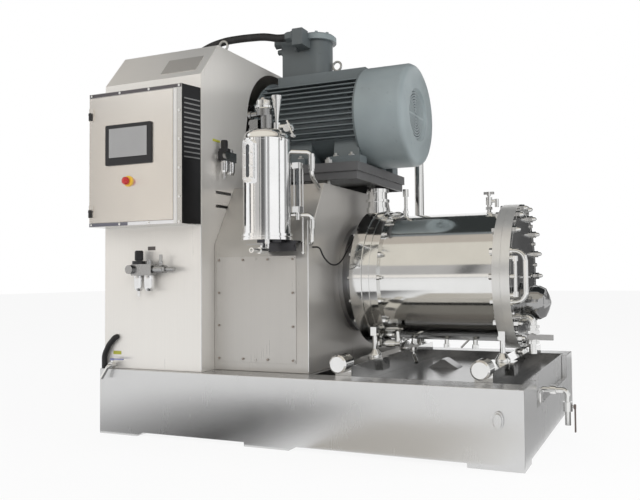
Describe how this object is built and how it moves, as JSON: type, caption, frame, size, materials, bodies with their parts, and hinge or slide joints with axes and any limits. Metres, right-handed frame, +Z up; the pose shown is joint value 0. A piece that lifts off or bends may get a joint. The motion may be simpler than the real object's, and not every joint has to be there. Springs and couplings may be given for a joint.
{
  "type": "sand mill",
  "caption": "Horizontal sand mill on a steel skid: motor above a belt guard and pedestal, polished grinding barrel over a drip tray, seal tank and control cabinet.",
  "frame": {"origin": "centre of the bounding box at floor level", "axes": "+X along the mill shaft towards the barrel's end cover, -Y the operator's side, +Z up"},
  "size_m": [2.3, 1.6431, 2.167],
  "materials": {
    "skid_steel": "hairline brushed stainless sheet",
    "brushed_sheet": "hairline brushed stainless sheet, warm reflections",
    "polished_steel": "mirror polished stainless",
    "machined_steel": "turned steel",
    "plated_steel": "zinc plated",
    "lever_steel": "satin stainless",
    "dark_steel": "dark satin paint",
    "motor_paint": "grey-green machine paint, semi-gloss",
    "pulley_iron": "turned cast iron",
    "belt_rubber": "fabric-faced rubber",
    "black_rubber": "matt black sheath",
    "fan_plastic": "moulded",
    "clear_glass": "clear sight glass",
    "clear_plastic": "clear polycarbonate bowl",
    "regulator_metal": "die-cast, satin",
    "black_plastic": "moulded black",
    "yellow_plastic": "moulded yellow",
    "red_plastic": "moulded red",
    "blue_grip": "vinyl-sleeved lever",
    "brown_grip": "vinyl-sleeved lever"
  },
  "bodies": {
    "frame": {"base_frame": "skid_steel", "drip_tray": "skid_steel", "barrel_crossbeams": "polished_steel", "belt_guard_hood": "brushed_sheet", "access_panels": "brushed_sheet", "pedestal": "brushed_sheet", "motor_platform": "dark_steel", "motor_fasteners": "plated_steel", "motor_frame": "motor_paint", "motor_end_shield": "motor_paint", "motor_fan_cover": "motor_paint", "junction_box": "motor_paint", "junction_box_cover": "motor_paint", "cable_fittings": "plated_steel", "motor_cable": "black_rubber", "bearing_housing": "machined_steel", "bearings_and_seal": "machined_steel", "end_flanges": "polished_steel", "barrel_jacket": "polished_steel", "barrel_liner": "machined_steel", "end_cover": "polished_steel", "barrel_nuts": "polished_steel", "end_cover_fittings": "polished_steel", "outlet_pipe": "polished_steel", "barrel_legs": "polished_steel", "barrel_ports": "polished_steel", "rear_post": "polished_steel", "v_belts": "belt_rubber", "seal_tank": "polished_steel", "seal_tank_lid": "polished_steel", "tank_glasses": "clear_glass", "tank_fittings": "polished_steel", "tank_pipework": "polished_steel", "regulator_bodies": "regulator_metal", "regulator_bowls": "clear_plastic", "cabinet_shell": "brushed_sheet", "conduit": "black_rubber", "drain_pipework": "polished_steel", "sensor_lead": "black_rubber"},
    "mill_rotor": {"mill_shaft": "machined_steel", "agitator": "machined_steel", "driven_pulley": "pulley_iron"},
    "motor_rotor": {"motor_shaft": "machined_steel", "drive_pulley": "pulley_iron", "cooling_fan": "fan_plastic"},
    "control_door": {"cabinet_door": "brushed_sheet", "touch_screen": "black_plastic", "stop_collar": "yellow_plastic"},
    "stop_button": {"stop_button": "red_plastic"},
    "upper_latch": {"upper_latch": "black_plastic"},
    "lower_latch": {"lower_latch": "black_plastic"},
    "front_knob": {"front_regulator_knob": "black_plastic"},
    "side_knob": {"side_regulator_knob": "black_plastic"},
    "air_lever": {"air_inlet_lever": "lever_steel"},
    "tank_lever": {"tank_drain_lever": "lever_steel"},
    "water_lever": {"water_lever": "blue_grip"},
    "tray_lever": {"tray_drain_lever": "brown_grip"},
    "outlet_lever": {"outlet_lever": "lever_steel"},
    "vent_lever": {"vent_lever": "polished_steel"},
    "barrel_lever": {"barrel_drain_lever": "lever_steel"}
  },
  "joints": [
    {"name": "mill_shaft_spin", "type": "hinge", "parent": "frame", "child": "mill_rotor", "pos_m": [0, 0.057, 0.776], "axis": [1, 0, 0], "continuous": true},
    {"name": "motor_spin", "type": "hinge", "parent": "frame", "child": "motor_rotor", "pos_m": [0, 0.057, 1.644], "axis": [1, 0, 0], "continuous": true},
    {"name": "cabinet_door_hinge", "type": "hinge", "parent": "frame", "child": "control_door", "pos_m": [-0.634, -0.7815, 1.38], "axis": [0, 0, 1], "range_deg": [0, 120]},
    {"name": "stop_button_press", "type": "slide", "parent": "control_door", "child": "stop_button", "axis": [0, 1, 0], "range_m": [0, 0.005], "stiffness_N_per_m": 900},
    {"name": "upper_latch_turn", "type": "hinge", "parent": "control_door", "child": "upper_latch", "pos_m": [-1.136, -0.7895, 1.611], "axis": [0, -1, 0], "range_deg": [0, 90]},
    {"name": "lower_latch_turn", "type": "hinge", "parent": "control_door", "child": "lower_latch", "pos_m": [-1.136, -0.7895, 1.12], "axis": [0, -1, 0], "range_deg": [0, 90]},
    {"name": "front_regulator_turn", "type": "hinge", "parent": "frame", "child": "front_knob", "pos_m": [-0.894, -0.7125, 0.9], "axis": [0, 0, 1], "range_deg": [-270, 270]},
    {"name": "side_regulator_turn", "type": "hinge", "parent": "frame", "child": "side_knob", "pos_m": [-0.51588, -0.524, 1.46], "axis": [0, 0, 1], "range_deg": [-270, 270]},
    {"name": "air_inlet_turn", "type": "hinge", "parent": "frame", "child": "air_lever", "pos_m": [-0.76, -0.7125, 0.856], "axis": [0, 0, 1], "range_deg": [0, 90]},
    {"name": "tank_drain_turn", "type": "hinge", "parent": "frame", "child": "tank_lever", "pos_m": [-0.174, -0.736, 0.929], "axis": [0, 0, 1], "range_deg": [0, 90]},
    {"name": "water_inlet_turn", "type": "hinge", "parent": "frame", "child": "water_lever", "pos_m": [-1.074, -0.701, 0.37], "axis": [0, 0, -1], "range_deg": [0, 90]},
    {"name": "tray_drain_turn", "type": "hinge", "parent": "frame", "child": "tray_lever", "pos_m": [1.14, -0.254, 0.193], "axis": [1, 0, 0], "range_deg": [0, 90]},
    {"name": "outlet_turn", "type": "hinge", "parent": "frame", "child": "outlet_lever", "pos_m": [0.935, -0.122, 0.487], "axis": [0, -1, 0], "range_deg": [0, 90]},
    {"name": "vent_turn", "type": "hinge", "parent": "frame", "child": "vent_lever", "pos_m": [0.69993, 0.057, 1.188], "axis": [0, 0, 1], "range_deg": [0, 90]},
    {"name": "barrel_drain_turn", "type": "hinge", "parent": "frame", "child": "barrel_lever", "pos_m": [0.303, -0.037, 0.42], "axis": [0, -1, 0], "range_deg": [0, 90]}
  ],
  "couplings": [
    {"joint": "motor_spin", "follows": "mill_shaft_spin", "ratio": 1.5}
  ]
}
